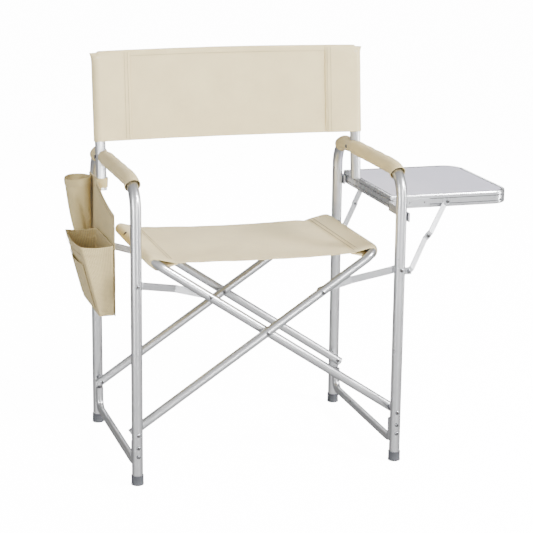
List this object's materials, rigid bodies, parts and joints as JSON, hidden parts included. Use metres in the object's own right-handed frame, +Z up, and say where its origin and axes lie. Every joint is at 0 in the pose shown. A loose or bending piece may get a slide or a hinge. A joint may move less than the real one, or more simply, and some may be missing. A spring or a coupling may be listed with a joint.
{
  "type": "folding camp chair",
  "caption": "Folding camp chair with tube side frames, a canvas seat and backrest on crossing frames, a folding side table and a hanging pouch.",
  "frame": {"origin": "on the floor, under the middle of the whole object with its table and pouch", "axes": "+Z up, +X towards the side table, -Y towards the front of the seat"},
  "size_m": [0.8964, 0.4232, 0.8144],
  "materials": {
    "tube": "satin drawn tube",
    "foot": "moulded grey",
    "canvas": "woven beige canvas",
    "pouch": "woven khaki canvas",
    "linen": "coarse woven linen",
    "strip": "satin flat strip",
    "steel": "bright rivet",
    "panel": "smooth pale board",
    "rim": "satin extrusion"
  },
  "bodies": {
    "left_frame": {"side_frame_left": "tube", "lower_rail_left": "tube", "back_post_left": "tube", "post_screw_left": "steel", "arm_sleeve_left": "canvas", "foot_left_front": "foot", "foot_left_rear": "foot", "pivot_pin_left_front": "steel", "pivot_pin_left_rear": "steel", "link_pin_left_front": "steel", "link_pin_left_rear": "steel", "backrest_fabric": "canvas", "pouch_panel": "pouch", "pouch_wedge_pocket": "linen", "pouch_bottle_pocket": "pouch"},
    "seat_frame_b": {"seat_frame_right": "tube", "cross_pin_front": "steel", "cross_pin_rear": "steel", "frame_rivet_right_front": "steel", "frame_rivet_right_rear": "steel", "seat_fabric": "canvas"},
    "seat_frame_a": {"seat_frame_left": "tube", "frame_rivet_left_front": "steel", "frame_rivet_left_rear": "steel"},
    "right_frame": {"side_frame_right": "tube", "lower_rail_right": "tube", "back_post_right": "tube", "post_screw_right": "steel", "arm_sleeve_right": "canvas", "foot_right_front": "foot", "foot_right_rear": "foot", "pivot_pin_right_front": "steel", "pivot_pin_right_rear": "steel", "link_pin_right_front": "steel", "link_pin_right_rear": "steel", "table_bracket_front": "strip", "table_bracket_rear": "strip", "brace_clip_front": "strip", "brace_clip_rear": "strip", "brace_leg_pin_front": "steel", "brace_leg_pin_rear": "steel"},
    "link_left_front": {"spreader_link_left_front": "strip"},
    "link_left_rear": {"spreader_link_left_rear": "strip"},
    "link_right_front": {"spreader_link_right_front": "strip"},
    "link_right_rear": {"spreader_link_right_rear": "strip"},
    "table": {"table_rim": "rim", "table_panel": "panel", "hinge_plate_front": "strip", "hinge_plate_rear": "strip", "hinge_pin_front": "steel", "hinge_pin_rear": "steel", "brace_table_pin_front": "steel", "brace_table_pin_rear": "steel"},
    "brace_low_front": {"brace_lower_front": "strip", "knuckle_pin_front": "steel"},
    "brace_low_rear": {"brace_lower_rear": "strip", "knuckle_pin_rear": "steel"},
    "brace_high_front": {"brace_upper_front": "strip"},
    "brace_high_rear": {"brace_upper_rear": "strip"}
  },
  "joints": [
    {"name": "fold", "type": "hinge", "parent": "left_frame", "child": "seat_frame_b", "pos_m": [-0.36935, -0.0044, 0.104], "axis": [0, -1, 0], "range_deg": [0, 43.76], "deforming": ["seat_fabric", "backrest_fabric"]},
    {"name": "crossing", "type": "hinge", "parent": "seat_frame_b", "child": "seat_frame_a", "pos_m": [-0.10185, -0.0044, 0.284], "axis": [0, -1, 0], "range_deg": [-92.18, 0]},
    {"name": "right_pivot", "type": "hinge", "parent": "seat_frame_a", "child": "right_frame", "pos_m": [0.16565, -0.0044, 0.104], "axis": [0, -1, 0], "range_deg": [0, 43.81]},
    {"name": "link_left_front_pivot", "type": "hinge", "parent": "left_frame", "child": "link_left_front", "pos_m": [-0.36935, -0.1864, 0.401], "axis": [0, -1, 0], "range_deg": [0, 86.63]},
    {"name": "link_left_rear_pivot", "type": "hinge", "parent": "left_frame", "child": "link_left_rear", "pos_m": [-0.36935, 0.1776, 0.401], "axis": [0, -1, 0], "range_deg": [0, 86.63]},
    {"name": "link_right_front_pivot", "type": "hinge", "parent": "right_frame", "child": "link_right_front", "pos_m": [0.16565, -0.1864, 0.401], "axis": [0, -1, 0], "range_deg": [-86.63, 0]},
    {"name": "link_right_rear_pivot", "type": "hinge", "parent": "right_frame", "child": "link_right_rear", "pos_m": [0.16565, 0.1776, 0.401], "axis": [0, -1, 0], "range_deg": [-86.63, 0]},
    {"name": "table_hinge", "type": "hinge", "parent": "right_frame", "child": "table", "pos_m": [0.19615, -0.0044, 0.508], "axis": [0, 1, 0], "range_deg": [0, 90]},
    {"name": "brace_low_front_pivot", "type": "hinge", "parent": "right_frame", "child": "brace_low_front", "pos_m": [0.18365, -0.2014, 0.397], "axis": [0, 1, 0], "range_deg": [-45.47, 0]},
    {"name": "brace_high_front_pivot", "type": "hinge", "parent": "table", "child": "brace_high_front", "pos_m": [0.30615, -0.0964, 0.511], "axis": [0, 1, 0], "range_deg": [0, 33.97]},
    {"name": "brace_low_rear_pivot", "type": "hinge", "parent": "right_frame", "child": "brace_low_rear", "pos_m": [0.18365, 0.2046, 0.386], "axis": [0, 1, 0], "range_deg": [-69.48, 0]},
    {"name": "brace_high_rear_pivot", "type": "hinge", "parent": "table", "child": "brace_high_rear", "pos_m": [0.24315, 0.2086, 0.512], "axis": [0, 1, 0], "range_deg": [-46.36, 0]}
  ],
  "couplings": [
    {"joint": "crossing", "follows": "fold", "ratio": -2.1053},
    {"joint": "right_pivot", "follows": "fold", "ratio": 1},
    {"joint": "link_left_front_pivot", "follows": "fold", "ratio": 1.9785},
    {"joint": "link_left_rear_pivot", "follows": "fold", "ratio": 1.9785},
    {"joint": "link_right_front_pivot", "follows": "fold", "ratio": -1.9785},
    {"joint": "link_right_rear_pivot", "follows": "fold", "ratio": -1.9785},
    {"joint": "brace_low_front_pivot", "follows": "table_hinge", "ratio": -0.50471},
    {"joint": "brace_high_front_pivot", "follows": "table_hinge", "ratio": 0.37694},
    {"joint": "brace_low_rear_pivot", "follows": "table_hinge", "ratio": -0.77141},
    {"joint": "brace_high_rear_pivot", "follows": "table_hinge", "ratio": -0.5146}
  ]
}
